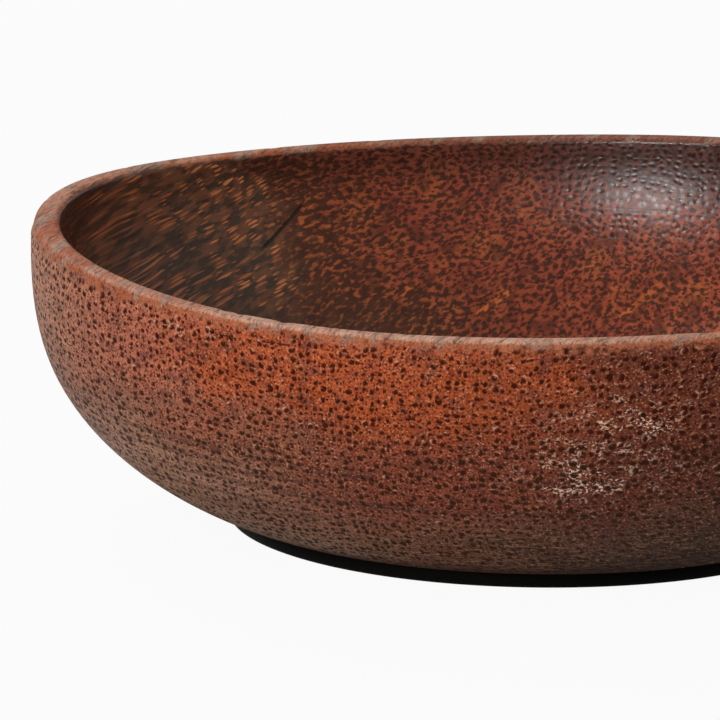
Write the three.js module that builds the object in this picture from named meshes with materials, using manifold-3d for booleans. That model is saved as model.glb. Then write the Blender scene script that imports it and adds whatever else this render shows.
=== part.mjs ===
// Turned soup plate of coconut palm wood: a blank glued up from two boards, turned to a round dish,
// and a dark ring under it as a foot. Millimetres, +Z up. The plate stands on z = 0 with its axis on Z,
// and the boards and their fibres run along Y, so the front and back walls are end grain.
import * as THREE from 'three';
import { mergeVertices } from 'three/addons/utils/BufferGeometryUtils.js';
import Module from 'manifold-3d';

// Overall size
const plateDiameter = 200; // at the girth, its widest height
const plateHeight = 58; // up to the rim, before its warp

// Lip
const lipWidth = 5.2; // from the outside to the inside of the rim, with both roundings
const lipDrawIn = 0.5; // the rim's radius is this much less than the girth's
const lipOuterRound = 1.7;
const lipInnerRound = 1.3;
const girthDrop = 3.2; // from the rim down to the girth

// Warp: drying has lifted and dropped the rim in a few waves, and the lower half has stayed true
const rimWaves = [
  { crests: 2, lift: 1.02, firstCrest: 28 }, // lift in millimetres, crest in degrees from +X
  { crests: 3, lift: 0.86, firstCrest: 69 },
];
const trueShare = 0.5; // of the plate's height

// Belly: a quarter of a power curve, which would lie flat at its end point if the foot didn't cut it
const bellyEndRadius = 54.1;
const bellyEndHeight = 1.3;
const bellyPowerOut = 1.39; // under 2 draws the belly in towards the foot
const bellyPowerDown = 2.56; // over 2 keeps the wall upright below the girth

// Dish, the hollow inside: a power curve of the same kind, down to a flat floor
const dishFloorInset = 6; // the floor's edge lies this much nearer the axis than the belly's end
const floorThickness = 6.3; // above the shoulder that the foot ring seats on
const dishPowerOut = 1.6;
const dishPowerDown = 2; // rounder than the belly, so the wall thickens downwards

// Foot ring, fitted over a spigot that is turned on the underside of the floor
const footDiameter = 121;
const footHeight = 3.2;
const footRingWidth = 7;
const footChamfer = 0.6; // on the ring's lower edges
const spigotClearance = 0.3; // between the spigot and the ring's bore
const spigotRecess = 1; // the spigot's face stays this far above the table

// Blank: the glue line is a plane along the fibres, off the axis, with the wide board on the -X side
const glueLineOffset = 62;
const glueLineWidth = 0.3; // between the faces of the two boards
const glueSkin = 0.04; // free depth on each side of the set film

// Finishes
const wideBoardColour = 0x7d412a;
const narrowBoardColour = 0x74402c;
const glueColour = 0x2e1a12;
const footColour = 0x17110d;
const woodRoughness = 0.42; // satin lacquer
const glueRoughness = 0.55;
const footRoughness = 0.6;

// Fineness of the round shapes
const turnSteps = 72;
const curveSteps = 14;
const lipSteps = 4;

// Radii and heights that follow from these
const girthRadius = plateDiameter / 2;
const girthHeight = plateHeight - girthDrop;
const lipRadius = girthRadius - lipDrawIn;
const mouthRadius = lipRadius - lipWidth;
const dishTopHeight = plateHeight - lipInnerRound;
const dishFloorHeight = footHeight + floorThickness;
const dishFloorRadius = bellyEndRadius - dishFloorInset;
const footRadius = footDiameter / 2;
const footBoreRadius = footRadius - footRingWidth;
const spigotRadius = footBoreRadius - spigotClearance;

const wasm = await Module();
wasm.setup();

function point(radius, height) {
  return new THREE.Vector2(radius, height);
}

// Points of a power curve from its upright top down to the given height
function powerCurve({ topRadius, topHeight, endRadius, endHeight, powerOut, powerDown }, lowestHeight) {
  const share = (topHeight - lowestHeight) / (topHeight - endHeight);
  const lastAngle = Math.asin(Math.pow(Math.min(share, 1), powerDown / 2));
  const points = [];
  for (let step = 0; step <= curveSteps; step++) {
    const angle = (lastAngle * step) / curveSteps;
    const out = Math.pow(Math.max(Math.cos(angle), 0), 2 / powerOut);
    const down = Math.pow(Math.sin(angle), 2 / powerDown);
    points.push(point(endRadius + (topRadius - endRadius) * out, topHeight - (topHeight - endHeight) * down));
  }
  return points;
}

// Points of a rounded edge, a quarter circle that starts at the given angle
function roundedEdge(centreRadius, centreHeight, round, startAngle) {
  const points = [];
  for (let step = 0; step <= lipSteps; step++) {
    const angle = startAngle + (Math.PI / 2) * (step / lipSteps);
    points.push(point(centreRadius + round * Math.cos(angle), centreHeight + round * Math.sin(angle)));
  }
  return points;
}

// The turned section of the glued blank, from the axis under the floor round to the axis above it
function dishSection() {
  const belly = powerCurve({
    topRadius: girthRadius,
    topHeight: girthHeight,
    endRadius: bellyEndRadius,
    endHeight: bellyEndHeight,
    powerOut: bellyPowerOut,
    powerDown: bellyPowerDown,
  }, footHeight);
  const inside = powerCurve({
    topRadius: mouthRadius,
    topHeight: dishTopHeight,
    endRadius: dishFloorRadius,
    endHeight: dishFloorHeight,
    powerOut: dishPowerOut,
    powerDown: dishPowerDown,
  }, dishFloorHeight);
  return [
    point(0, spigotRecess),
    point(spigotRadius, spigotRecess),
    point(spigotRadius, footHeight),
    ...belly.reverse(),
    ...roundedEdge(lipRadius - lipOuterRound, plateHeight - lipOuterRound, lipOuterRound, 0),
    ...roundedEdge(mouthRadius + lipInnerRound, plateHeight - lipInnerRound, lipInnerRound, Math.PI / 2),
    ...inside.slice(1),
    point(0, dishFloorHeight),
  ];
}

// The ring's section, closed on itself
function footSection() {
  return [
    point(footBoreRadius + footChamfer, 0),
    point(footRadius - footChamfer, 0),
    point(footRadius, footChamfer),
    point(footRadius, footHeight),
    point(footBoreRadius, footHeight),
    point(footBoreRadius, footChamfer),
    point(footBoreRadius + footChamfer, 0),
  ];
}

// A section turned about Z, with shared vertices and no empty triangles on the axis
function turned(section) {
  const lathe = new THREE.LatheGeometry(section, turnSteps);
  lathe.rotateX(Math.PI / 2);
  return closed(lathe);
}

// The same surface with only its positions, each shared by the triangles that meet there
function closed(source) {
  source.deleteAttribute('normal');
  source.deleteAttribute('uv');
  const merged = mergeVertices(source);
  const corners = merged.getIndex().array;
  const kept = [];
  for (let i = 0; i < corners.length; i += 3) {
    const [a, b, c] = [corners[i], corners[i + 1], corners[i + 2]];
    if (a !== b && b !== c && c !== a) kept.push(a, b, c);
  }
  merged.setIndex(kept);
  return merged;
}

// The turned dish with its rim warped, more so the nearer a point is to the rim
function warped(dish) {
  const places = dish.getAttribute('position');
  for (let i = 0; i < places.count; i++) {
    const angle = Math.atan2(places.getY(i), places.getX(i));
    let lift = 0;
    for (const { crests, lift: most, firstCrest } of rimWaves) {
      lift += most * Math.cos(crests * (angle - THREE.MathUtils.degToRad(firstCrest)));
    }
    const share = THREE.MathUtils.smoothstep(places.getZ(i), trueShare * plateHeight, plateHeight);
    places.setZ(i, places.getZ(i) + share * lift);
  }
  return dish;
}

function solidOf(geometry) {
  const vertProperties = new Float32Array(geometry.getAttribute('position').array);
  const triVerts = new Uint32Array(geometry.getIndex().array);
  return new wasm.Manifold(new wasm.Mesh({ numProp: 3, vertProperties, triVerts }));
}

function geometryOf(solid) {
  const mesh = solid.getMesh();
  const geometry = new THREE.BufferGeometry();
  geometry.setAttribute('position', new THREE.BufferAttribute(mesh.vertProperties, 3));
  geometry.setIndex(new THREE.BufferAttribute(mesh.triVerts, 1));
  geometry.computeVertexNormals();
  return geometry;
}

// The slice of the turned blank between two planes across X
function slice(blank, fromX, toX) {
  const slab = new THREE.BoxGeometry(toX - fromX, 2 * plateDiameter, 2 * plateHeight);
  slab.translate((fromX + toX) / 2, 0, plateHeight / 2);
  return geometryOf(blank.intersect(solidOf(closed(slab))));
}

function named(name, geometry, color, roughness) {
  const mesh = new THREE.Mesh(geometry, new THREE.MeshStandardMaterial({ color, roughness, metalness: 0 }));
  mesh.name = name;
  return mesh;
}

const blank = solidOf(warped(turned(dishSection())));
const wideFace = glueLineOffset - glueLineWidth / 2;
const narrowFace = glueLineOffset + glueLineWidth / 2;

const plate = new THREE.Group();
plate.name = 'soup_plate';
plate.add(
  named('wide_board', slice(blank, -plateDiameter, wideFace), wideBoardColour, woodRoughness),
  named('narrow_board', slice(blank, narrowFace, plateDiameter), narrowBoardColour, woodRoughness),
  named('glue_line', slice(blank, wideFace + glueSkin, narrowFace - glueSkin), glueColour, glueRoughness),
  named('foot_ring', turned(footSection()), footColour, footRoughness),
);

export default plate;
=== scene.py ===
import math
import random

import bmesh
import bpy
from mathutils import Matrix, Vector


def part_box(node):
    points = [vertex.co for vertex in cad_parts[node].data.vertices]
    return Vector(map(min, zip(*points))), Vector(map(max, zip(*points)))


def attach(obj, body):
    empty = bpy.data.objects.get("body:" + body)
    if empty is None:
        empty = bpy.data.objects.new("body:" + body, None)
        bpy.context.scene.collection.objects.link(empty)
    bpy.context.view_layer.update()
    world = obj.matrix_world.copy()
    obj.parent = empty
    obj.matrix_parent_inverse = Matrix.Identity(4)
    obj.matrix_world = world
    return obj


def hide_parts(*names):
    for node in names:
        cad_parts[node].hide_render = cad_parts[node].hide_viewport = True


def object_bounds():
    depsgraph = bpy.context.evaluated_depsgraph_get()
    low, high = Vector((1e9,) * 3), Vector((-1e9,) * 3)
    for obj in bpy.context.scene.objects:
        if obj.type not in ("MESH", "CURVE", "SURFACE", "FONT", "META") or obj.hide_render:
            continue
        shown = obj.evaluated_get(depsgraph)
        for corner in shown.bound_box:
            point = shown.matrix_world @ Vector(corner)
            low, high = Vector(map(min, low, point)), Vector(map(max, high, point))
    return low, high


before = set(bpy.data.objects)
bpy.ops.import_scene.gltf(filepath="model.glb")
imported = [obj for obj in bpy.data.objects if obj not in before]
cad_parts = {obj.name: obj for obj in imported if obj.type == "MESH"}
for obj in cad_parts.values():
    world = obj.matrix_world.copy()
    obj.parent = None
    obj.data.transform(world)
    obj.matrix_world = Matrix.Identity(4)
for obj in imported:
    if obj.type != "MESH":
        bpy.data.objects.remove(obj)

# Turned soup plate of coconut palm wood. Metres, +Z up, fibres close to Y, narrow board towards +X.
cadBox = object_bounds()
mm = 0.001
scene = bpy.context.scene
scene.view_settings.view_transform = "Standard"


# Camera

photoView = {
    "away": 2.3338,         # metres from the plate's axis, along the floor
    "height": 0.5599,
    "round": 17.0,          # degrees from -Y towards +X
    "aimLeft": 0.8557,      # degrees past the axis
    "aimDown": 12.7681,
    "tilt": 0.6264,         # the picture's own lean
    "lens": 606.48,         # long lens, close to parallel
}


def placeCamera():
    data = bpy.data.cameras.new("photoCamera")
    data.lens = photoView["lens"]
    camera = bpy.data.objects.new("photoCamera", data)
    scene.collection.objects.link(camera)
    turn = Matrix.Rotation(math.radians(photoView["round"]), 4, "Z")
    spot = turn @ Vector((0, -photoView["away"], photoView["height"]))
    aim = Matrix.Rotation(math.radians(photoView["round"] + photoView["aimLeft"]), 4, "Z")
    down = Matrix.Rotation(math.radians(90 - photoView["aimDown"]), 4, "X")
    lean = Matrix.Rotation(math.radians(photoView["tilt"]), 4, "Z")
    camera.matrix_world = Matrix.Translation(spot) @ aim @ down @ lean
    scene.camera = camera
    print("camera placed")


# Turned section of the dish

dishShape = {               # millimetres, the same section and warp as the CAD
    "rimHeight": 58.0,
    "rimWaves": ((2, 1.02, 28.0), (3, 0.86, 69.0)),     # crests, lift, degrees from +X to the first crest
    "trueShare": 0.5,       # of the height, up to where the warp begins
    "lipWidth": 5.2,
    "lipDrawIn": 0.5,
    "lipOuterRound": 1.7,
    "lipInnerRound": 1.3,
    "girthDrop": 3.2,
    "bellyEnd": (54.1, 1.3),
    "bellyPowers": (1.39, 2.56),
    "floorInset": 6.0,
    "floorThickness": 6.3,
    "dishPowers": (1.6, 2.0),
    "spigotClearance": 0.3,
    "spigotRecess": 1.0,
    "axisReach": 0.001,     # a smaller radius counts as the axis
    "turnSteps": 900,
    "bellySteps": 38,
    "insideSteps": 40,
    "lipSteps": 7,
    "floorSteps": 9,
}
lipWearAndLight = {                 # how pale the lip is, worn and partly painted light from above, as shares
    "start": 0.35,          # at the foot of the outer rounding
    "full": 0.75,           # share of the outer rounding where it is all pale
    "flat": (0.33, 0.67),   # points across the lip's flat
    "end": 0.35,            # share of the inner rounding where the finish begins again
}


def smooth(value, start, end):
    share = min(max((value - start) / (end - start), 0), 1)
    return share * share * (3 - 2 * share)


# Points of a power curve, from its upright top down to the lowest height
def powerCurve(top, end, powers, lowest, steps):
    share = min((top[1] - lowest) / (top[1] - end[1]), 1)
    lastAngle = math.asin(share ** (powers[1] / 2))
    points = []
    for step in range(steps + 1):
        angle = lastAngle * step / steps
        out = max(math.cos(angle), 0) ** (2 / powers[0])
        down = math.sin(angle) ** (2 / powers[1])
        points.append((end[0] + (top[0] - end[0]) * out, top[1] - (top[1] - end[1]) * down))
    return points


# A rounded edge of the lip, a quarter circle from the given angle
def roundedEdge(centre, curve, startAngle, steps):
    points = []
    for step in range(steps + 1):
        angle = startAngle + math.pi / 2 * step / steps
        points.append((centre[0] + curve * math.cos(angle), centre[1] + curve * math.sin(angle)))
    return points


# Section from the axis under the floor round to the axis above it: radius, height, inside share, lip share
def dishSection():
    shape = dishShape
    girthRadius = cadBox[1].x / mm
    plateHeight = shape["rimHeight"]
    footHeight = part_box("foot_ring")[1].z / mm
    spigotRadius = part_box("foot_ring")[1].x / mm - footShape["ringWidth"] - shape["spigotClearance"]
    lipRadius = girthRadius - shape["lipDrawIn"]
    mouthRadius = lipRadius - shape["lipWidth"]
    floorHeight = footHeight + shape["floorThickness"]
    floorRadius = shape["bellyEnd"][0] - shape["floorInset"]
    outerRound = shape["lipOuterRound"]
    innerRound = shape["lipInnerRound"]
    recess = shape["spigotRecess"]
    floorSteps = shape["floorSteps"]
    lipSteps = shape["lipSteps"]

    belly = powerCurve((girthRadius, plateHeight - shape["girthDrop"]), shape["bellyEnd"],
                       shape["bellyPowers"], footHeight, shape["bellySteps"])
    inside = powerCurve((mouthRadius, plateHeight - innerRound), (floorRadius, floorHeight),
                        shape["dishPowers"], floorHeight, shape["insideSteps"])
    outerEdge = roundedEdge((lipRadius - outerRound, plateHeight - outerRound), outerRound, 0, lipSteps)
    innerEdge = roundedEdge((mouthRadius + innerRound, plateHeight - innerRound), innerRound,
                            math.pi / 2, lipSteps)

    section = [(spigotRadius * step / floorSteps, recess, 0, 0) for step in range(floorSteps + 1)]
    section.append((spigotRadius, footHeight, 0, 0))
    section += [(radius, height, 0, 0) for radius, height in reversed(belly)]
    for step, (radius, height) in enumerate(outerEdge):
        bare = smooth(step / lipSteps, 0.0, lipWearAndLight["full"])
        section.append((radius, height, 0, lipWearAndLight["start"] + (1 - lipWearAndLight["start"]) * bare))
    flatStart, flatEnd = outerEdge[-1][0], innerEdge[0][0]
    for share in lipWearAndLight["flat"]:
        section.append((flatStart + (flatEnd - flatStart) * share, plateHeight, 0.5 * share, 1))
    for step, (radius, height) in enumerate(innerEdge):
        share = step / lipSteps
        section.append((radius, height, 0.5 + 0.5 * share, 1 - smooth(share, lipWearAndLight["end"], 1.0)))
    section += [(radius, height, 1, 0) for radius, height in inside[1:]]
    for step in range(1, floorSteps + 1):
        section.append((floorRadius * (1 - step / floorSteps), floorHeight, 1, 0))
    return section


handWork = {                # what hand turning and use leave on the lip, in millimetres
    "seed": 11,
    "nicks": 46,
    "nickInset": (1.2, 4.9, 5.2, 5.4),      # from the girth inwards to the lip's two edges
    "nickWidth": (0.5, 1.5),
    "nickDepth": (0.08, 0.4),
    "nickSpread": 0.8,      # across the lip, for 1 along it
    "nickReach": 3,         # in widths, beyond which nothing is left of a nick
    "leastLip": 0.02,       # lip share from which there are nicks
    "outOfRound": 0.14,
    "outOfRoundTurn": 0.7,  # radians
    "rimWear": 0.06,
    "wearWaves": 7,
}


def lipNicks():
    dice = random.Random(handWork["seed"])
    girth = cadBox[1].x / mm
    nicks = []
    for _ in range(handWork["nicks"]):
        angle = dice.uniform(-math.pi, math.pi)
        edge = girth - dice.choice(handWork["nickInset"])
        width = dice.uniform(*handWork["nickWidth"])
        nicks.append((angle, edge, width, dice.uniform(*handWork["nickDepth"])))
    return nicks


def rimLift(angle):
    lift = 0
    for crests, most, firstCrest in dishShape["rimWaves"]:
        lift += most * math.cos(crests * (angle - math.radians(firstCrest)))
    return lift


# Where a point of the section lies after turning, with the plate's small irregularities
def turnedPoint(radius, height, lip, angle, nicks):
    girth = cadBox[1].x / mm
    rimHeight = dishShape["rimHeight"]
    upper = smooth(height, dishShape["trueShare"] * rimHeight, rimHeight)
    oval = 0.5 + 0.5 * math.sin(2 * angle + handWork["outOfRoundTurn"])
    worn = 1.5 + math.cos(handWork["wearWaves"] * angle)
    radius -= handWork["outOfRound"] * upper * oval
    height += upper * (rimLift(angle) - handWork["rimWear"] * worn)
    if lip > handWork["leastLip"]:
        for nickAngle, edge, width, depth in nicks:
            along = (angle - nickAngle + math.pi) % (2 * math.pi) - math.pi
            along *= girth / width
            across = (radius - edge) / (handWork["nickSpread"] * width)
            if max(abs(along), abs(across)) < handWork["nickReach"]:
                height -= depth * math.exp(-along * along - across * across)
    return Vector((radius * math.cos(angle), radius * math.sin(angle), height)) * mm


# Faces between neighbouring rings of points; a ring on the axis is a single point
def skinRings(work, rings, steps):
    for low, high in zip(rings, rings[1:]):
        for step in range(steps):
            after = (step + 1) % steps
            corners = [low[step % len(low)], low[after % len(low)]]
            corners += [high[after % len(high)], high[step % len(high)]]
            work.faces.new(list(dict.fromkeys(corners))).smooth = True
    bmesh.ops.recalc_face_normals(work, faces=work.faces)


def turnDish():
    section = dishSection()
    steps = dishShape["turnSteps"]
    nicks = lipNicks()
    work = bmesh.new()
    insideLayer = work.verts.layers.float.new("inside")
    lipLayer = work.verts.layers.float.new("lip")
    rings = []
    for radius, height, inside, lip in section:
        count = steps if radius > dishShape["axisReach"] else 1
        ring = []
        for step in range(count):
            vert = work.verts.new(turnedPoint(radius, height, lip, 2 * math.pi * step / steps, nicks))
            vert[insideLayer] = inside
            vert[lipLayer] = lip
            ring.append(vert)
        rings.append(ring)
    skinRings(work, rings, steps)
    print("dish turned:", len(work.faces), "faces")
    return work


# Cuts away the wood beyond a plane across X and closes the cut
def sawAt(work, place, keepSide):
    geometry = work.verts[:] + work.edges[:] + work.faces[:]
    bmesh.ops.bisect_plane(work, geom=geometry, plane_co=(place, 0, 0), plane_no=(-keepSide, 0, 0),
                           clear_outer=True)
    rim = [edge for edge in work.edges if edge.is_boundary]
    for face in bmesh.ops.holes_fill(work, edges=rim, sides=0)["faces"]:
        face.smooth = False
    for edge in rim:
        edge.smooth = False


sharpAngle = 50.0           # degrees, above which an edge is shaded sharp


def addPiece(name, work, node):
    mesh = bpy.data.meshes.new(name)
    work.to_mesh(mesh)
    work.free()
    mesh.set_sharp_from_angle(angle=math.radians(sharpAngle))
    piece = bpy.data.objects.new(name, mesh)
    scene.collection.objects.link(piece)
    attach(piece, "root")
    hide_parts(node)
    print(name, "made:", len(mesh.polygons), "faces")
    return piece


def makeBoards():
    blank = turnDish()
    narrowWork = blank.copy()
    glueWork = blank.copy()
    sawAt(blank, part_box("wide_board")[1].x, -1)
    sawAt(narrowWork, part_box("narrow_board")[0].x, 1)
    sawAt(glueWork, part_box("glue_line")[0].x, 1)
    sawAt(glueWork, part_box("glue_line")[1].x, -1)
    return (addPiece("wideBoard", blank, "wide_board"),
            addPiece("narrowBoard", narrowWork, "narrow_board"),
            addPiece("glueLine", glueWork, "glue_line"))


# Foot ring

footShape = {               # millimetres
    "ringWidth": 7.0,
    "chamfer": 0.6,
    "chamferEase": 0.3,     # share of the chamfer that its middle is drawn in, which rounds it
    "topRound": 0.25,
    "turnSteps": 480,
}


def makeFootRing():
    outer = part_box("foot_ring")[1].x / mm
    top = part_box("foot_ring")[1].z / mm
    bore = outer - footShape["ringWidth"]
    chamfer = footShape["chamfer"]
    ease = footShape["chamferEase"] * chamfer
    topRound = footShape["topRound"]
    section = [
        (bore + chamfer, 0), ((bore + outer) / 2, 0), (outer - chamfer, 0), (outer - ease, ease),
        (outer, chamfer), (outer, top - topRound), (outer - topRound, top),
        (bore, top), (bore, chamfer), (bore + ease, ease),
    ]
    steps = footShape["turnSteps"]
    work = bmesh.new()
    rings = []
    for radius, height in section:
        ring = []
        for step in range(steps):
            angle = 2 * math.pi * step / steps
            spot = Vector((radius * math.cos(angle), radius * math.sin(angle), height))
            ring.append(work.verts.new(spot * mm))
        rings.append(ring)
    skinRings(work, rings + rings[:1], steps)
    return addPiece("footRing", work, "foot_ring")


# Shader helpers

def paint(red, green, blue):
    shares = [tone / 255 for tone in (red, green, blue)]
    return tuple(s / 12.92 if s <= 0.04045 else ((s + 0.055) / 1.055) ** 2.4 for s in shares) + (1.0,)


def feed(tree, socket, value):
    if isinstance(value, bpy.types.NodeSocket):
        tree.links.new(value, socket)
    else:
        socket.default_value = value


def addNode(tree, kind, settings=None, values=None):
    node = tree.nodes.new(kind)
    for name, value in (settings or {}).items():
        setattr(node, name, value)
    for name, value in (values or {}).items():
        feed(tree, node.inputs[name], value)
    return node


def calc(tree, operation, *values):
    return addNode(tree, "ShaderNodeMath", {"operation": operation}, dict(enumerate(values))).outputs[0]


def calcVector(tree, operation, *values):
    node = addNode(tree, "ShaderNodeVectorMath", {"operation": operation}, dict(enumerate(values)))
    return node.outputs["Value" if operation in ("LENGTH", "DOT_PRODUCT") else "Vector"]


def scaled(tree, vector, factors):
    return calcVector(tree, "MULTIPLY", vector, factors)


# 0 at start and its most at full, either way round
def fade(tree, value, start, full, most=1.0):
    return addNode(tree, "ShaderNodeMapRange", {"interpolation_type": "SMOOTHSTEP"},
                   {"Value": value, "From Min": start, "From Max": full, "To Max": most}).outputs["Result"]


def mixed(tree, share, first, second, blend="MIX"):
    node = addNode(tree, "ShaderNodeMix", {"data_type": "RGBA", "blend_type": blend},
                   {0: share, 6: first, 7: second})
    return node.outputs[2]


def noise(tree, vector, detail, output="Fac"):
    node = addNode(tree, "ShaderNodeTexNoise", None, {"Vector": vector, "Scale": 1.0, "Detail": detail})
    return node.outputs[output]


def movedBy(tree, vector, offset):
    return calcVector(tree, "ADD", vector, offset)


# Noise with its own pace along each axis
def grain(tree, vector, pace, detail, offset=(0, 0, 0)):
    return noise(tree, scaled(tree, movedBy(tree, vector, offset), pace), detail)


def grains(tree, vector, kinds):
    return {name: grain(tree, vector, *kind) for name, kind in kinds.items()}


def times(tree, *values):
    product = values[0]
    for value in values[1:]:
        product = calc(tree, "MULTIPLY", product, value)
    return product


def plus(tree, *values):
    total = values[0]
    for value in values[1:]:
        total = calc(tree, "ADD", total, value)
    return total


# Sum of the values, each times the weight of the same name
def weighed(tree, weights, values):
    return plus(tree, *(times(tree, value, weights[name]) for name, value in values.items()))


def greatest(tree, *values):
    most = values[0]
    for value in values[1:]:
        most = calc(tree, "MAXIMUM", most, value)
    return most


def remainder(tree, share):
    return calc(tree, "SUBTRACT", 1.0, share)


def centred(tree, value):
    return calc(tree, "SUBTRACT", value, 0.5)


# The colour times a tint, by the given share
def tinted(tree, share, colour, tint):
    return mixed(tree, share, colour, mixed(tree, 1.0, colour, tint + (1,), "MULTIPLY"))


# A colour with another one over it, as far as the value fades it in
def layered(tree, colour, value, limits, over):
    return mixed(tree, fade(tree, value, *limits), colour, over)


# The same with a tint
def toned(tree, colour, value, limits, tint):
    return tinted(tree, fade(tree, value, *limits), colour, tint)


patchEdge = (1.0, 0.25)     # in radii, where a patch starts and where it is full


# Soft oval patch of the wood
def patch(tree, place, centre, radii, most):
    offset = calcVector(tree, "SUBTRACT", place, centre)
    reach = calcVector(tree, "LENGTH", calcVector(tree, "DIVIDE", offset, radii))
    return fade(tree, reach, *patchEdge, most)


def newGroup(name, takes, gives):
    tree = bpy.data.node_groups.new(name, "ShaderNodeTree")
    for label, kind, start in takes:
        tree.interface.new_socket(label, in_out="INPUT", socket_type=kind).default_value = start
    for label, kind in gives:
        tree.interface.new_socket(label, in_out="OUTPUT", socket_type=kind)
    return tree, tree.nodes.new("NodeGroupInput").outputs, tree.nodes.new("NodeGroupOutput").inputs


def useGroup(tree, group, values):
    return addNode(tree, "ShaderNodeGroup", {"node_tree": group}, values).outputs


def millimetres(tree):
    return scaled(tree, addNode(tree, "ShaderNodeTexCoord").outputs["Object"], (1 / mm,) * 3)


def parts(tree, vector):
    return addNode(tree, "ShaderNodeSeparateXYZ", None, {"Vector": vector}).outputs


def onPlane(tree, first, second):
    return addNode(tree, "ShaderNodeCombineXYZ", None, {"X": first, "Y": second}).outputs["Vector"]


def attribute(tree, name):
    return addNode(tree, "ShaderNodeAttribute", {"attribute_name": name}).outputs["Fac"]


dotShape = {                # in cell widths, for the notch in radii of the dot
    "randomness": 0.7,
    "raggedPace": (2.2, 2.2, 0),
    "notchTurn": (2.0, -1.3),           # radians from upright: spread and start
    "notchReach": 0.8,
    "notchEdge": (0.75, 0.3),
    "domeEdge": (0.58, 0.0),
    "rimEdge": (1.15, 0.6),
    "rimGap": (-0.05, 0.02),
}


# Fibre bundles cut across: dark caps, each with a notch where its vessels lie and a rim beside that
def buildFibreDots():
    shape = dotShape
    tree, given, result = newGroup(
        "fibreDots",
        [("Place", "NodeSocketVector", (0, 0, 0)), ("Spacing", "NodeSocketFloat", 1.75),
         ("Least", "NodeSocketFloat", 0.1), ("Most", "NodeSocketFloat", 0.3),
         ("Softness", "NodeSocketFloat", 0.05), ("Growth", "NodeSocketFloat", 1.0),
         ("Notch", "NodeSocketFloat", 0.0), ("Ragged", "NodeSocketFloat", 0.0)],
        [("Dots", "NodeSocketFloat"), ("Dome", "NodeSocketFloat"), ("Rim", "NodeSocketFloat"),
         ("Tone", "NodeSocketFloat")])
    place = calcVector(tree, "DIVIDE", given["Place"], given["Spacing"])
    cells = addNode(tree, "ShaderNodeTexVoronoi", {"voronoi_dimensions": "2D", "feature": "F1"},
                    {"Vector": place, "Scale": 1.0, "Randomness": shape["randomness"]})
    chance = addNode(tree, "ShaderNodeSeparateColor", None, {"Color": cells.outputs["Color"]}).outputs
    spread = times(tree, chance[0], calc(tree, "SUBTRACT", given["Most"], given["Least"]))
    radius = times(tree, plus(tree, spread, given["Least"]), given["Growth"])
    gap = calc(tree, "SUBTRACT", cells.outputs["Distance"], radius)
    uneven = centred(tree, grain(tree, place, shape["raggedPace"], 1.0))
    gap = plus(tree, gap, times(tree, uneven, given["Ragged"]))
    body = fade(tree, gap, given["Softness"], times(tree, given["Softness"], -1))

    turn = calc(tree, "MULTIPLY_ADD", chance[2], *shape["notchTurn"])
    reach = times(tree, radius, shape["notchReach"])
    notchPlace = onPlane(tree, times(tree, calc(tree, "SINE", turn), reach),
                         times(tree, calc(tree, "COSINE", turn), reach))
    offset = scaled(tree, calcVector(tree, "SUBTRACT", place, cells.outputs["Position"]), (1, 1, 0))
    toNotch = calcVector(tree, "LENGTH", calcVector(tree, "SUBTRACT", offset, notchPlace))
    toNotch = calc(tree, "DIVIDE", toNotch, radius)
    notch = times(tree, fade(tree, toNotch, *shape["notchEdge"]), given["Notch"], chance[1])
    feed(tree, result["Dots"], times(tree, body, remainder(tree, notch)))
    feed(tree, result["Dome"], fade(tree, cells.outputs["Distance"], *shape["domeEdge"]))
    rim = times(tree, fade(tree, toNotch, *shape["rimEdge"]), fade(tree, gap, *shape["rimGap"]))
    feed(tree, result["Rim"], rim)
    feed(tree, result["Tone"], chance[1])
    return tree


# Faint rings that the turning tool leaves round the axis
def buildTurningRings():
    tree, given, result = newGroup(
        "turningRings",
        [("Place", "NodeSocketVector", (0, 0, 0)), ("Pitch", "NodeSocketFloat", 0.8)],
        [("Rings", "NodeSocketFloat")])
    flat = scaled(tree, given["Place"], (1, 1, 0))
    across = plus(tree, calcVector(tree, "LENGTH", flat), parts(tree, given["Place"])["Z"])
    steps = calc(tree, "DIVIDE", across, given["Pitch"])
    feed(tree, result["Rings"], noise(tree, onPlane(tree, steps, 0.0), 1.0))
    return tree


# Palm wood

grainLook = {
    "askew": 2.0,           # degrees that the fibres run off Y, towards +X
    "rise": 4.0,            # degrees that they climb towards +Y
    "drift": 5.0,           # millimetres of slow, quicker and fine wandering
    "swirl": 2.0,
    "jitter": 0.4,
    "paces": {"drift": (0.022, 0.008, 0.022), "swirl": (0.11, 0.05, 0.11), "jitter": (0.9, 0.05, 0.9)},
}


# Place in the plate, place in the trunk and place on a plane across the fibres, in millimetres
def fibrePlaces(tree, shift):
    place = millimetres(tree)
    turn = (math.radians(grainLook["rise"]), 0, -math.radians(grainLook["askew"]))
    along = addNode(tree, "ShaderNodeVectorRotate", {"rotation_type": "EULER_XYZ", "invert": True},
                    {"Vector": place, "Rotation": turn}).outputs["Vector"]
    wood = calcVector(tree, "ADD", along, shift)
    bent = wood
    for name, pace in grainLook["paces"].items():
        sway = noise(tree, scaled(tree, wood, pace), 1.0, "Color")
        sway = calcVector(tree, "SUBTRACT", sway, (0.5, 0.5, 0.5))
        bent = calcVector(tree, "ADD", bent, scaled(tree, sway, (grainLook[name],) * 3))
    bent = parts(tree, bent)
    return place, wood, onPlane(tree, bent["X"], bent["Z"])


# In the looks below a noise has its pace per millimetre along X, Y and Z, its detail and perhaps a shift,
# a fade has where it starts, where it is full and its most, and a patch has its centre, radii and most

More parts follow.
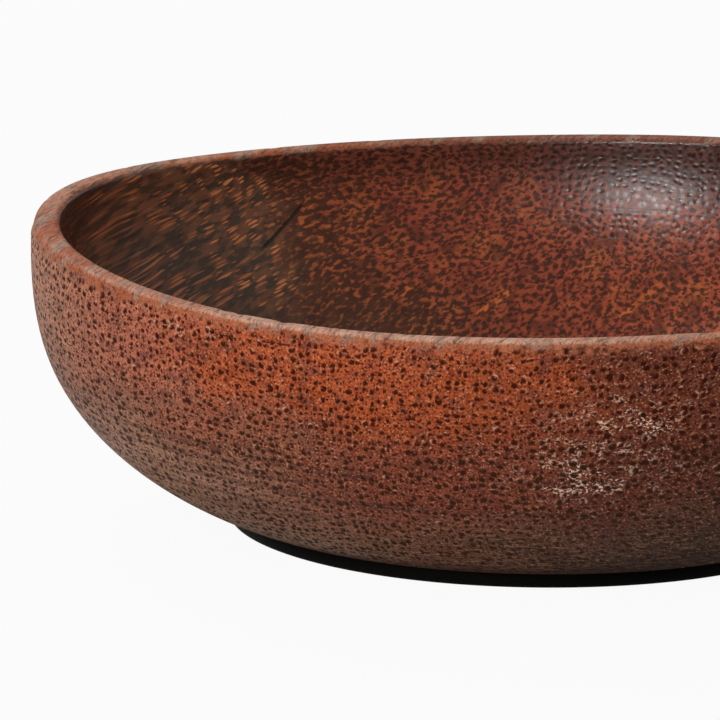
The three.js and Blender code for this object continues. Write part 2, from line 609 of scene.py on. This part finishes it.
lipLook = {
    "tan": paint(196, 138, 110),
    "orange": paint(178, 98, 62),
    "grey": paint(164, 136, 118),
    "pale": paint(234, 190, 162),
    "backBrown": paint(126, 76, 58),
    "streak": paint(92, 62, 50),
    "fineTint": (0.6, 0.54, 0.52),
    "palePatch": ((6, -96, 58), (75, 40, 20), 0.55),
    "backPatch": ((-10, 97, 58), (95, 70, 20), 0.8),
    "edgeSway": 1.4,
    "noises": {
        "edge": ((0.5, 0.12, 0.5), 3.0),
        "patches": ((0.13, 0.04, 0.13), 2.0),
        "greys": ((0.3, 0.07, 0.3), 2.0, (41, 7, 3)),
        "streaks": ((1.3, 0.09, 1.3), 3.0),
        "fine": ((2.6, 0.4, 2.6), 2.0),
    },
    "fades": {
        "bare": (0.15, 0.65),
        "orange": (0.45, 0.62),
        "edge": (1.0, 0.7, 0.85),
        "grey": (0.52, 0.66, 0.8),
        "fine": (0.58, 0.34),
        "streak": (0.56, 0.66, 0.75),
    },
}


# Lip, paler where the finish is worn through and with painted light from above, and its share of the
# surface with a ragged edge
def buildWornAndLitLip():
    look = lipLook
    fades = look["fades"]
    tree, given, result = newGroup(
        "wornAndLitLip",
        [("Place", "NodeSocketVector", (0, 0, 0)), ("Wood", "NodeSocketVector", (0, 0, 0))],
        [("Share", "NodeSocketFloat"), ("Color", "NodeSocketColor")])
    lip = attribute(tree, "lip")
    noises = grains(tree, given["Wood"], look["noises"])
    ragged = times(tree, centred(tree, noises["edge"]), look["edgeSway"])
    colour = layered(tree, look["tan"], noises["patches"], fades["orange"], look["orange"])
    # painted light: the front of the lip paler where light falls from above the front
    colour = mixed(tree, patch(tree, given["Place"], *look["palePatch"]), colour, look["pale"])
    colour = layered(tree, colour, lip, fades["edge"], look["orange"])
    # painted shade: the back of the lip darker
    colour = mixed(tree, patch(tree, given["Place"], *look["backPatch"]), colour, look["backBrown"])
    colour = layered(tree, colour, noises["greys"], fades["grey"], look["grey"])
    colour = toned(tree, colour, noises["fine"], fades["fine"], look["fineTint"])
    colour = layered(tree, colour, noises["streaks"], fades["streak"], look["streak"])
    feed(tree, result["Share"], fade(tree, plus(tree, lip, ragged), *fades["bare"]))
    feed(tree, result["Color"], colour)
    return tree


outerLook = {
    "orange": paint(170, 80, 42),
    "salmon": paint(178, 108, 84),
    "dusty": paint(180, 143, 113),
    "redBrown": paint(116, 66, 54),
    "darkBrown": paint(76, 48, 39),
    "lowBrown": paint(150, 114, 90),
    "lowDark": paint(72, 73, 64),
    "lowGrey": paint(190, 166, 146),
    "footShade": paint(26, 20, 16),
    "bundle": paint(42, 12, 2),
    "warmBundle": paint(62, 20, 6),
    "lowBundle": paint(54, 31, 15),
    "lowStreak": paint(196, 146, 112),
    "speck": paint(84, 30, 24),
    "glint": paint(220, 150, 112),
    "fleck": paint(255, 220, 192),
    "fleckPatches": (((40, -88, 33), (26, 32, 18), 0.55), ((36, -88, 29.5), (15, 30, 8), 1.0),
                     ((46, -88, 42), (15, 30, 8), 0.9), ((-42, -90, 55), (14, 30, 5), 0.55)),
    "crumbGather": 0.13,    # by how much the patches help the crumbs of fill along
    "toolLinePatch": ((-27, -93, 54), (30, 40, 8), 1.0),
    "toolLineHeight": 53.6,
    "toolLineSway": 1.5,
    "zoneSway": (60, 30),   # millimetres along X and Z
    "shadeTop": 7.5,        # height of the shade by the foot, and where it is full
    "shadeEnd": 3.2,
    "shadeMost": 0.85,
    "ringPitch": 0.7,
    "fibreNoises": {
        "zones": ((0.045, 0.012, 0.07), 3.0),
        "mottle": ((0.7, 0.12, 0.7), 3.0),
        "blotch": ((0.2, 0.04, 0.3), 3.0),
        "fine": ((2.6, 0.3, 2.6), 2.0),
        "crumbs": ((0.28, 0.05, 0.4), 3.0),
        "fill": ((2.0, 0.25, 2.6), 2.0, (5, 3, 9)),
    },
    "turnedNoises": {
        "bands": ((0.03, 0.03, 0.7), 2.0),
        "streaks": ((0.3, 0.3, 2.4), 3.0),
        "broken": ((0.35, 0.35, 0.1), 2.0),
    },
    "fades": {
        "low": (24, 6),
        "salmonLeft": (-15, -70, 0.85),
        "redDown": (46, 30, 0.7),
        "darkRight": (8, 55, 0.75),
        "dustyDown": (46, 18),
        "dustyLeft": (0, -50),
        "dustySide": (-58, -90, 0.75),
        "redBlotch": (0.5, 0.36, 0.45),
        "darkBlotch": (0.42, 0.3, 0.35),
        "bands": (0.48, 0.66, 0.6),
        "bandsDown": (42, 28),
        "lowRight": (-10, 45),
        "paleStreak": (0.55, 0.65, 0.85),
        "darkStreak": (0.46, 0.34, 0.6),
        "greyDown": (17, 6),
        "greyLeft": (12, -30, 0.5),
        "shadeRight": (18, 50, 6.5),
        "glint": (0.58, 0.7, 0.7),
        "growthDown": (48, 30, 0.12),
        "bundlesDown": (46, 26, 0.8),
        "litRims": (0.4, 0.7, 0.35),
        "crumbs": (0.56, 0.66),
        "fill": (0.55, 0.62),
        "stray": (0.85, 0.95, 0.25),
        "toolLine": (0.24, 0.08),
        "broken": (0.45, 0.52),
    },
    "tints": {              # a fade and a tint
        "mottleLight": ((0.45, 0.7, 0.6), (1.45, 1.5, 1.6)),
        "mottleDark": ((0.5, 0.28, 0.7), (0.68, 0.55, 0.6)),
        "fineDark": ((0.48, 0.36, 0.7), (0.5, 0.4, 0.45)),
    },
    "mosts": {"dusty": 0.68, "lowBrown": 0.6, "lowDark": 0.85, "specks": 0.9, "lipOverDots": 0.85,
              "lowOverDots": 0.4, "lip": 0.95, "bundles": 0.96, "rimFill": 0.8, "flecks": 0.95,
              "toolLine": 0.85},
    "specks": {"Spacing": 0.8, "Least": 0.1, "Most": 0.34, "Softness": 0.14, "Ragged": 0.3},
    "speckShift": (31.7, 12.9, 0),
    "bundles": {"Spacing": 1.7, "Least": 0.13, "Most": 0.34, "Softness": 0.11, "Notch": 0.9,
                "Ragged": 0.24},
    "coarse": {"Spacing": 6.0, "Least": 0.0, "Most": 0.11, "Softness": 0.015, "Notch": 0.8},
    "coarseShift": (7.3, 51.1, 0),
    "roughness": 0.52,
    "roughBy": {"dots": 0.1, "mottle": 0.2, "low": 0.35},
    "relief": {"bundles": -0.7, "mottle": 0.35, "specks": -0.2, "flecks": 0.2, "rings": 0.12},
}


# Outside: end grain in front and behind, side grain left and right
def buildOuterWood(fibreDots, turningRings, wornAndLitLip):
    look = outerLook
    fades, tints, mosts = look["fades"], look["tints"], look["mosts"]
    tree, given, result = newGroup(
        "outerWood",
        [("Shift", "NodeSocketVector", (0, 0, 0)), ("Darkness", "NodeSocketFloat", 0.0)],
        [("Color", "NodeSocketColor"), ("Roughness", "NodeSocketFloat"), ("Height", "NodeSocketFloat")])

    def faded(value, name):
        return fade(tree, value, *fades[name])

    place, wood, cut = fibrePlaces(tree, given["Shift"])
    spot = parts(tree, place)
    fibre = grains(tree, wood, look["fibreNoises"])
    turned = grains(tree, place, look["turnedNoises"])
    bare = useGroup(tree, wornAndLitLip, {"Place": place, "Wood": wood})
    lip = bare["Share"]

    # ground between the bundles, paler to the left and darker to the right and below
    zones = centred(tree, fibre["zones"])
    across = plus(tree, spot["X"], times(tree, zones, look["zoneSway"][0]))
    upwards = plus(tree, spot["Z"], times(tree, zones, look["zoneSway"][1]))
    low = faded(upwards, "low")
    ground = layered(tree, look["orange"], across, fades["salmonLeft"], look["salmon"])
    ground = layered(tree, ground, upwards, fades["redDown"], look["redBrown"])
    ground = layered(tree, ground, across, fades["darkRight"], look["darkBrown"])
    ground = layered(tree, ground, fibre["blotch"], fades["redBlotch"], look["redBrown"])
    ground = layered(tree, ground, fibre["blotch"], fades["darkBlotch"], look["darkBrown"])
    # painted sheen: paler grey along the left side and lower on the left
    leftSheenLow = times(tree, faded(upwards, "dustyDown"), faded(spot["X"], "dustyLeft"))
    dusty = greatest(tree, faded(spot["X"], "dustySide"), leftSheenLow)
    ground = mixed(tree, times(tree, dusty, mosts["dusty"]), ground, look["dusty"])
    ground = toned(tree, ground, fibre["mottle"], *tints["mottleLight"])
    ground = toned(tree, ground, fibre["mottle"], *tints["mottleDark"])

    # darker turning bands, and the lower belly: a painted grey-brown sheen, painted shade low on the right
    # and by the foot, paler and darker streaks and a painted grey sheen low on the left
    bands = times(tree, faded(turned["bands"], "bands"), faded(spot["Z"], "bandsDown"))
    ground = mixed(tree, bands, ground, look["darkBrown"])
    # painted sheen: the lower belly greyer brown, a painted reflection of the floor
    ground = mixed(tree, times(tree, low, mosts["lowBrown"]), ground, look["lowBrown"])
    # painted shade: the lower belly darker towards the right, with the bundles fainter there
    lowRight = times(tree, low, faded(spot["X"], "lowRight"))
    ground = mixed(tree, times(tree, lowRight, mosts["lowDark"]), ground, look["lowDark"])
    for name, over in (("paleStreak", "lowStreak"), ("darkStreak", "lowBundle")):
        streaks = times(tree, faded(turned["streaks"], name), low)
        ground = mixed(tree, streaks, ground, look[over])
    # painted sheen: a grey reflection of the floor low on the left of the belly
    lowSheenShare = times(tree, faded(spot["Z"], "greyDown"), faded(spot["X"], "greyLeft"))
    ground = mixed(tree, lowSheenShare, ground, look["lowGrey"])
    # painted shade by the foot, reaching higher towards the right
    shadeTop = plus(tree, faded(spot["X"], "shadeRight"), look["shadeTop"])
    paintedFootShade = fade(tree, spot["Z"], shadeTop, look["shadeEnd"], look["shadeMost"])
    ground = mixed(tree, paintedFootShade, ground, look["footShade"])

    # small cut fibres and pores, and painted glints
    specks = useGroup(tree, fibreDots,
                      {"Place": movedBy(tree, cut, look["speckShift"]), **look["specks"]})["Dots"]
    outOfFootShade = remainder(tree, paintedFootShade)
    ground = mixed(tree, times(tree, specks, mosts["specks"]), ground, look["speck"])
    ground = toned(tree, ground, fibre["fine"], *tints["fineDark"])
    ground = mixed(tree, times(tree, faded(fibre["fine"], "glint"), outOfFootShade), ground, look["glint"])

    # bundles, fainter on the lip and low down
    growth = plus(tree, faded(spot["Z"], "growthDown"), 1.0)
    bundles = useGroup(tree, fibreDots, {"Place": cut, "Growth": growth, **look["bundles"]})
    coarse = useGroup(tree, fibreDots,
                      {"Place": movedBy(tree, cut, look["coarseShift"]), **look["coarse"]})
    dots = greatest(tree, bundles["Dots"], coarse["Dots"])
    shown = times(tree, dots, remainder(tree, times(tree, lip, mosts["lipOverDots"])),
                  remainder(tree, times(tree, lowRight, mosts["lowOverDots"])))
    bundleColour = mixed(tree, bundles["Tone"], look["bundle"], look["warmBundle"])
    bundleColour = layered(tree, bundleColour, upwards, fades["bundlesDown"], look["lowBundle"])
    # painted highlight: lit rims beside the bundles' notches, none in the painted shade by the foot
    litRims = times(tree, bundles["Rim"], faded(bundles["Tone"], "litRims"), outOfFootShade)
    ground = mixed(tree, litRims, ground, look["glint"])
    # the lip's paler colour: wear and painted light from above
    ground = mixed(tree, times(tree, lip, mosts["lip"]), ground, bare["Color"])
    colour = mixed(tree, times(tree, shown, mosts["bundles"]), ground, bundleColour)

    # pale fill left in the pores between the bundles
    zone = greatest(tree, *(patch(tree, place, *oval) for oval in look["fleckPatches"]))
    crumbs = plus(tree, fibre["crumbs"], times(tree, zone, look["crumbGather"]))
    fill = greatest(tree, faded(fibre["fill"], "fill"), times(tree, bundles["Rim"], mosts["rimFill"]))
    stray = times(tree, faded(bundles["Tone"], "stray"), bundles["Rim"])
    flecks = greatest(tree, times(tree, zone, faded(crumbs, "crumbs"), fill), stray)
    flecks = times(tree, flecks, remainder(tree, lip), remainder(tree, shown))
    colour = mixed(tree, times(tree, flecks, mosts["flecks"]), colour, look["fleck"])

    # a broken line that the tool left under the lip
    lineGap = plus(tree, spot["Z"], times(tree, zones, look["toolLineSway"]))
    lineGap = calc(tree, "ABSOLUTE", calc(tree, "SUBTRACT", lineGap, look["toolLineHeight"]))
    toolLine = times(tree, faded(lineGap, "toolLine"), patch(tree, place, *look["toolLinePatch"]),
                     faded(turned["broken"], "broken"))
    colour = mixed(tree, times(tree, toolLine, mosts["toolLine"]), colour, look["warmBundle"])
    colour = mixed(tree, given["Darkness"], colour, look["darkBrown"])

    rings = useGroup(tree, turningRings, {"Place": place, "Pitch": look["ringPitch"]})["Rings"]
    rough = weighed(tree, look["roughBy"],
                    {"dots": dots, "mottle": centred(tree, fibre["mottle"]), "low": low})
    relief = weighed(tree, look["relief"],
                     {"bundles": plus(tree, shown, toolLine), "mottle": fibre["mottle"],
                      "specks": specks, "flecks": flecks, "rings": rings})
    feed(tree, result["Color"], colour)
    feed(tree, result["Roughness"], plus(tree, look["roughness"], rough))
    feed(tree, result["Height"], relief)
    return tree


innerLook = {
    "red": paint(146, 64, 37),
    "orange": paint(172, 90, 45),
    "darkBrown": paint(84, 46, 36),
    "purple": paint(86, 50, 42),
    "bundle": paint(32, 15, 5),
    "denseWood": paint(124, 82, 56),
    "charcoal": paint(74, 58, 44),
    "sliver": paint(222, 140, 84),
    "dullSliver": paint(176, 96, 54),
    "densePatch": ((-84, 24, 38), (64, 70, 50), 1.0),
    "lowPatch": ((-54, 56, 22), (34, 30, 13), 0.6),
    "purplePatch": ((2, 94, 53), (50, 40, 13), 0.8),
    "borderSway": 0.6,
    "checkEnds": ((-74.0, 50.5, 37.8), (-69.1, 62.0, 45.2)),    # a short drying crack
    "checkWidth": 0.32,
    "flame": paint(206, 104, 46),       # brighter streaks low on the back wall
    "flameEnds": (((-51.2, 62.0, 25.5), (-47.2, 69.4, 29.3)), ((-34.4, 69.8, 23.1), (-29.0, 77.0, 27.5)),
                  ((-6.2, 77.8, 23.3), (0.4, 83.9, 29.4))),
    "flameWidth": 0.6,
    "ringPitch": 0.7,
    "noises": {
        "zones": ((0.15, 0.06, 0.15), 3.0),
        "mottle": ((0.6, 0.1, 0.6), 3.0),
        "border": ((0.25, 0.05, 0.25), 3.0),
        "clots": ((0.3, 0.05, 0.3), 2.0, (9, 5, 2)),
        "gathered": ((0.22, 0.03, 0.22), 2.0, (2, 8, 6)),
    },
    "fades": {
        "lattice": (0.0, 0.7),
        "heart": (0.52, 1.0),
        "orange": (0.45, 0.7, 0.7),
        "underRim": (46, 53, 0.65),
        "net": (0.56, 0.38, 0.95),
        "clots": (0.52, 0.66, 0.6),
        "denseWood": (0.42, 0.6),
        "sliverTone": (0.2, 0.8),
        "slivers": (0.15, 0.55),
        "gathered": (0.38, 0.54),
    },
    "tints": {              # a fade and a tint
        "rightLight": ((-50, 5), (1.18, 1.18, 1.18)),
        "mottleLight": ((0.45, 0.7, 0.6), (1.35, 1.35, 1.35)),
        "mottleDark": ((0.5, 0.28, 0.7), (0.6, 0.52, 0.55)),
        "leftLight": ((-84, -93), (1.4, 1.35, 1.3)),
    },
    "mosts": {"flame": 0.9, "dots": 0.9, "lip": 0.95, "bundles": 0.88, "dense": 0.94, "check": 0.9},
    "flattening": (0.84, 1.18, 1),      # bundles are wider than high
    "bundles": {"Spacing": 1.45, "Least": 0.1, "Most": 0.34, "Softness": 0.11, "Ragged": 0.4},
    "bundleGrowth": (0.25, 1.15),       # in the dense patch, and everywhere
    "netPace": (1.1, 1.1, 0),
    "netShift": (40, 9, 3),
    "netDetail": 1.5,
    "netClose": -0.11,                  # how the net closes up in the dense patch
    "slivers": {"Spacing": 0.78, "Least": 0.0, "Most": 0.34, "Softness": 0.1, "Ragged": 0.45},
    "sliverGrowth": (0.5, 0.72),
    "sliverAxes": ((0.37, 0.16, 0), (-0.39, 0.92, 0)),          # flat, 2.5 times as wide as thick
    "sliverShift": (17.7, 3.1, 0),
    "roughness": 0.38,
    "roughBy": {"domes": -0.13, "mottle": 0.15},
    "relief": {"domes": 0.55, "mottle": 0.3, "rings": 0.1, "check": -1.0},
}
markShape = {"side": (1.3, 0.6), "start": (-0.06, 0.1), "end": (1.08, 0.9)}      # in widths and in lengths


# A thin mark in the wood that crosses the inner wall between two points
def wallMark(tree, place, ends, width):
    start, end = (Vector(corner) for corner in ends)
    run = end - start
    turn = Matrix.Rotation(-math.radians(grainLook["askew"]), 3, "Z")
    turn = turn @ Matrix.Rotation(math.radians(grainLook["rise"]), 3, "X")
    across = run.cross(turn @ Vector((0, 1, 0))).normalized()
    offset = calcVector(tree, "SUBTRACT", place, tuple(start))
    share = calc(tree, "DIVIDE", calcVector(tree, "DOT_PRODUCT", offset, tuple(run)), run.length_squared)
    miss = calc(tree, "ABSOLUTE", calcVector(tree, "DOT_PRODUCT", offset, tuple(across)))
    side = (edge * width for edge in markShape["side"])
    return times(tree, fade(tree, miss, *side), fade(tree, share, *markShape["start"]),
                 fade(tree, share, *markShape["end"]))


# Inside: lacquered, with softer bundles that close up on the left
def buildInnerWood(fibreDots, turningRings, wornAndLitLip):
    look = innerLook
    fades, tints, mosts = look["fades"], look["tints"], look["mosts"]
    tree, given, result = newGroup(
        "innerWood",
        [("Shift", "NodeSocketVector", (0, 0, 0)), ("Darkness", "NodeSocketFloat", 0.0)],
        [("Color", "NodeSocketColor"), ("Roughness", "NodeSocketFloat"), ("Height", "NodeSocketFloat")])

    def faded(value, name):
        return fade(tree, value, *fades[name])

    place, wood, cut = fibrePlaces(tree, given["Shift"])
    spot = parts(tree, place)
    fibre = grains(tree, wood, look["noises"])
    bare = useGroup(tree, wornAndLitLip, {"Place": place, "Wood": wood})
    lip = bare["Share"]
    offLip = remainder(tree, lip)
    dense = greatest(tree, patch(tree, place, *look["densePatch"]), patch(tree, place, *look["lowPatch"]))
    dense = plus(tree, dense, times(tree, centred(tree, fibre["border"]), look["borderSway"]))
    lattice = faded(dense, "lattice")
    heart = faded(dense, "heart")

    # ground between the bundles
    ground = layered(tree, look["red"], fibre["zones"], fades["orange"], look["orange"])
    ground = mixed(tree, lattice, ground, look["orange"])
    ground = toned(tree, ground, spot["X"], *tints["rightLight"])
    ground = toned(tree, ground, fibre["mottle"], *tints["mottleLight"])
    ground = toned(tree, ground, fibre["mottle"], *tints["mottleDark"])
    # painted shade: darker under the rim
    ground = layered(tree, ground, spot["Z"], fades["underRim"], look["darkBrown"])
    ground = mixed(tree, patch(tree, place, *look["purplePatch"]), ground, look["purple"])
    for ends in look["flameEnds"]:
        flame = wallMark(tree, place, ends, look["flameWidth"])
        ground = mixed(tree, times(tree, flame, mosts["flame"]), ground, look["flame"])

    # bundles that run together into a net
    flattened = scaled(tree, cut, look["flattening"])
    growth = calc(tree, "MULTIPLY_ADD", lattice, *look["bundleGrowth"])
    bundles = useGroup(tree, fibreDots, {"Place": flattened, "Growth": growth, **look["bundles"]})
    net = movedBy(tree, scaled(tree, flattened, look["netPace"]), look["netShift"])
    net = plus(tree, noise(tree, net, look["netDetail"]), times(tree, lattice, look["netClose"]))
    net = faded(net, "net")
    clots = faded(fibre["clots"], "clots")
    dots = greatest(tree, times(tree, bundles["Dots"], mosts["dots"]), net, clots)
    dots = times(tree, dots, offLip)
    colour = mixed(tree, times(tree, lip, mosts["lip"]), ground, bare["Color"])
    colour = mixed(tree, times(tree, dots, mosts["bundles"]), colour, look["bundle"])

    # a dark patch where they close up, with slivers of pale wood
    denseColour = layered(tree, look["charcoal"], fibre["mottle"], fades["denseWood"], look["denseWood"])
    denseColour = toned(tree, denseColour, spot["X"], *tints["leftLight"])
    colour = mixed(tree, times(tree, heart, offLip, mosts["dense"]), colour, denseColour)
    ribbons = onPlane(tree, *(calcVector(tree, "DOT_PRODUCT", cut, axis) for axis in look["sliverAxes"]))
    sliverGrowth = calc(tree, "MULTIPLY_ADD", heart, *look["sliverGrowth"])
    slivers = useGroup(tree, fibreDots, {"Place": movedBy(tree, ribbons, look["sliverShift"]),
                                         "Growth": sliverGrowth, **look["slivers"]})
    sliverTone = times(tree, slivers["Tone"], faded(heart, "sliverTone"))
    sliverColour = mixed(tree, sliverTone, look["dullSliver"], look["sliver"])
    gathered = times(tree, faded(fibre["gathered"], "gathered"), faded(heart, "slivers"), offLip)
    colour = mixed(tree, times(tree, slivers["Dots"], gathered), colour, sliverColour)
    check = wallMark(tree, place, look["checkEnds"], look["checkWidth"])
    colour = mixed(tree, times(tree, check, mosts["check"]), colour, look["bundle"])
    colour = mixed(tree, given["Darkness"], colour, look["darkBrown"])

    rings = useGroup(tree, turningRings, {"Place": place, "Pitch": look["ringPitch"]})["Rings"]
    rough = weighed(tree, look["roughBy"],
                    {"domes": bundles["Dome"], "mottle": centred(tree, fibre["mottle"])})
    domes = times(tree, bundles["Dome"], bundles["Tone"])
    relief = weighed(tree, look["relief"],
                     {"domes": domes, "mottle": fibre["mottle"], "rings": rings, "check": check})
    feed(tree, result["Color"], colour)
    feed(tree, result["Roughness"], plus(tree, look["roughness"], rough))
    feed(tree, result["Height"], relief)
    return tree


# Materials

def newMaterial(name):
    material = bpy.data.materials.new(name)
    material.use_nodes = True
    tree = material.node_tree
    return material, tree, tree.nodes["Principled BSDF"]


def addBump(tree, shader, height, strength, depth):
    bump = addNode(tree, "ShaderNodeBump", None,
                   {"Height": height, "Strength": strength, "Distance": depth * mm})
    feed(tree, shader.inputs["Normal"], bump.outputs["Normal"])


boardLook = {               # each board's own cut from the trunk
    "wideBoard": {"shift": (0, 0, 0), "darkness": 0.0},
    "narrowBoard": {"shift": (210, 35, 90), "darkness": 0.2},
}
finishLook = {              # oil outside, lacquer inside
    "Oiled": {"specular": 0.05, "strength": 0.8, "depth": 0.16},
    "Lacquered": {"specular": 0.42, "strength": 0.8, "depth": 0.16},
}
lacquerFrom = 0.8           # inside share of a face from which it is lacquered


def finishBoard(piece, woods):
    given = boardLook[piece.name]
    for finish, look in finishLook.items():
        material, tree, shader = newMaterial(piece.name + finish)
        wood = useGroup(tree, woods[finish], {"Shift": given["shift"], "Darkness": given["darkness"]})
        feed(tree, shader.inputs["Base Color"], wood["Color"])
        feed(tree, shader.inputs["Roughness"], wood["Roughness"])
        shader.inputs["Specular IOR Level"].default_value = look["specular"]
        addBump(tree, shader, wood["Height"], look["strength"], look["depth"])
        piece.data.materials.append(material)
    inside = piece.data.attributes["inside"].data
    for face in piece.data.polygons:
        share = sum(inside[corner].value for corner in face.vertices) / len(face.vertices)
        face.material_index = 1 if share > lacquerFrom else 0


glueLook = {
    "dark": paint(40, 24, 17),
    "light": paint(78, 50, 32),
    "lumps": ((0.8, 0.8, 0.8), 3.0),
    "lightFade": (0.4, 0.7),
    "roughness": 0.55,
    "strength": 0.4,
    "depth": 0.05,
}


def glueMaterial():
    look = glueLook
    material, tree, shader = newMaterial("setGlue")
    lumps = grain(tree, millimetres(tree), *look["lumps"])
    colour = layered(tree, look["dark"], lumps, look["lightFade"], look["light"])
    feed(tree, shader.inputs["Base Color"], colour)
    shader.inputs["Roughness"].default_value = look["roughness"]
    addBump(tree, shader, lumps, look["strength"], look["depth"])
    return material


# The foot ring's near-black is painted shade, standing for the shadow under the plate; the paler spots low
# down are wear
footLook = {
    "black": paint(6, 5, 4),
    "brown": paint(14, 11, 8),
    "worn": paint(52, 40, 32),
    "pore": paint(4, 3, 3),
    "grain": ((1.2, 0.06, 1.2), 4.0),
    "brownFade": (0.42, 0.72),
    "pores": {"Spacing": 0.9, "Least": 0.02, "Most": 0.16, "Softness": 0.06},
    "ringPitch": 0.35,
    "wear": ((1, 1, 1), 3.0),
    "wearFade": (0.5, 0.65),
    "wearDown": (0.45, 0.05, 0.6),
    "roughness": (0.25, 0.5),           # by the grain, and everywhere
    "specular": 0.03,
    "relief": {"pores": -0.5, "rings": 0.5},
    "strength": 0.5,
    "depth": 0.08,
}


def footMaterial(fibreDots, turningRings):
    look = footLook
    material, tree, shader = newMaterial("footShadowBlack")
    place = millimetres(tree)
    spot = parts(tree, place)
    streaks = grain(tree, place, *look["grain"])
    rings = useGroup(tree, turningRings, {"Place": place, "Pitch": look["ringPitch"]})["Rings"]
    cut = onPlane(tree, spot["X"], spot["Z"])
    pores = useGroup(tree, fibreDots, {"Place": cut, **look["pores"]})["Dots"]
    # painted shade: near-black with darker pores, as dark as the shadow under the plate
    colour = layered(tree, look["black"], streaks, look["brownFade"], look["brown"])
    colour = mixed(tree, pores, colour, look["pore"])
    wear = fade(tree, grain(tree, place, *look["wear"]), *look["wearFade"])
    wear = times(tree, wear, fade(tree, spot["Z"], *look["wearDown"]))
    feed(tree, shader.inputs["Base Color"], mixed(tree, wear, colour, look["worn"]))
    feed(tree, shader.inputs["Roughness"], calc(tree, "MULTIPLY_ADD", streaks, *look["roughness"]))
    shader.inputs["Specular IOR Level"].default_value = look["specular"]
    relief = weighed(tree, look["relief"], {"pores": pores, "rings": rings})
    addBump(tree, shader, relief, look["strength"], look["depth"])
    return material


# Stage

studio = {
    "floorSide": 30.0,
    "floorDrop": 0.0002,    # metres under the foot, so that the two faces don't fight
    "floorColour": (0.5, 0.5, 0.5, 1),
    "floorWhite": 0.94,     # share of plain white that the camera sees in the floor
    "skyColour": (1.0, 1.0, 1.0, 1),
    "skyStrength": 0.3,
    "lamps": {              # degrees round from the camera and above the floor, metres, watts
        "keyLamp": {"round": -30, "above": 21, "away": 1.8, "side": 0.55, "power": 19},
        "backLamp": {"round": -155, "above": 42, "away": 1.5, "side": 0.8, "power": 11},
    },
}


def makeFloor():
    work = bmesh.new()
    bmesh.ops.create_grid(work, x_segments=1, y_segments=1, size=studio["floorSide"] / 2)
    mesh = bpy.data.meshes.new("paleFloor")
    work.to_mesh(mesh)
    work.free()
    floor = bpy.data.objects.new("paleFloor", mesh)
    floor.location.z = -studio["floorDrop"]
    scene.collection.objects.link(floor)
    material, tree, shader = newMaterial("paleFloor")
    tree.nodes.remove(shader)
    matt = addNode(tree, "ShaderNodeBsdfDiffuse", None, {"Color": studio["floorColour"]}).outputs["BSDF"]
    white = addNode(tree, "ShaderNodeEmission", None,
                    {"Color": (1, 1, 1, 1), "Strength": 1.0}).outputs["Emission"]
    rays = addNode(tree, "ShaderNodeLightPath").outputs
    seen = greatest(tree, rays["Is Camera Ray"], rays["Is Glossy Ray"], rays["Is Transmission Ray"])
    share = times(tree, seen, studio["floorWhite"])
    both = addNode(tree, "ShaderNodeMixShader", None, {0: share, 1: matt, 2: white}).outputs["Shader"]
    feed(tree, tree.nodes["Material Output"].inputs["Surface"], both)
    mesh.materials.append(material)


def makeLight():
    world = bpy.data.worlds.new("softRoom")
    world.use_nodes = True
    sky = world.node_tree.nodes["Background"]
    sky.inputs["Color"].default_value = studio["skyColour"]
    sky.inputs["Strength"].default_value = studio["skyStrength"]
    scene.world = world
    middle = Vector((0, 0, cadBox[1].z / 2))
    for name, lamp in studio["lamps"].items():
        data = bpy.data.lights.new(name, "AREA")
        data.size = lamp["side"]
        data.energy = lamp["power"]
        light = bpy.data.objects.new(name, data)
        scene.collection.objects.link(light)
        turn = Matrix.Rotation(math.radians(photoView["round"] + lamp["round"]), 3, "Z")
        rise = Matrix.Rotation(-math.radians(lamp["above"]), 3, "X")
        away = turn @ rise @ Vector((0, -1, 0))
        light.location = middle + away * lamp["away"]
        light.rotation_euler = (-away).to_track_quat("-Z", "Y").to_euler()
        light.visible_camera = False
    print("floor and lamps set")


placeCamera()
wideBoard, narrowBoard, glueLine = makeBoards()
footRing = makeFootRing()
fibreDots = buildFibreDots()
turningRings = buildTurningRings()
wornAndLitLip = buildWornAndLitLip()
woods = {
    "Oiled": buildOuterWood(fibreDots, turningRings, wornAndLitLip),
    "Lacquered": buildInnerWood(fibreDots, turningRings, wornAndLitLip),
}
finishBoard(wideBoard, woods)
finishBoard(narrowBoard, woods)
glueLine.data.materials.append(glueMaterial())
footRing.data.materials.append(footMaterial(fibreDots, turningRings))
print("finishes applied")
makeFloor()
makeLight()
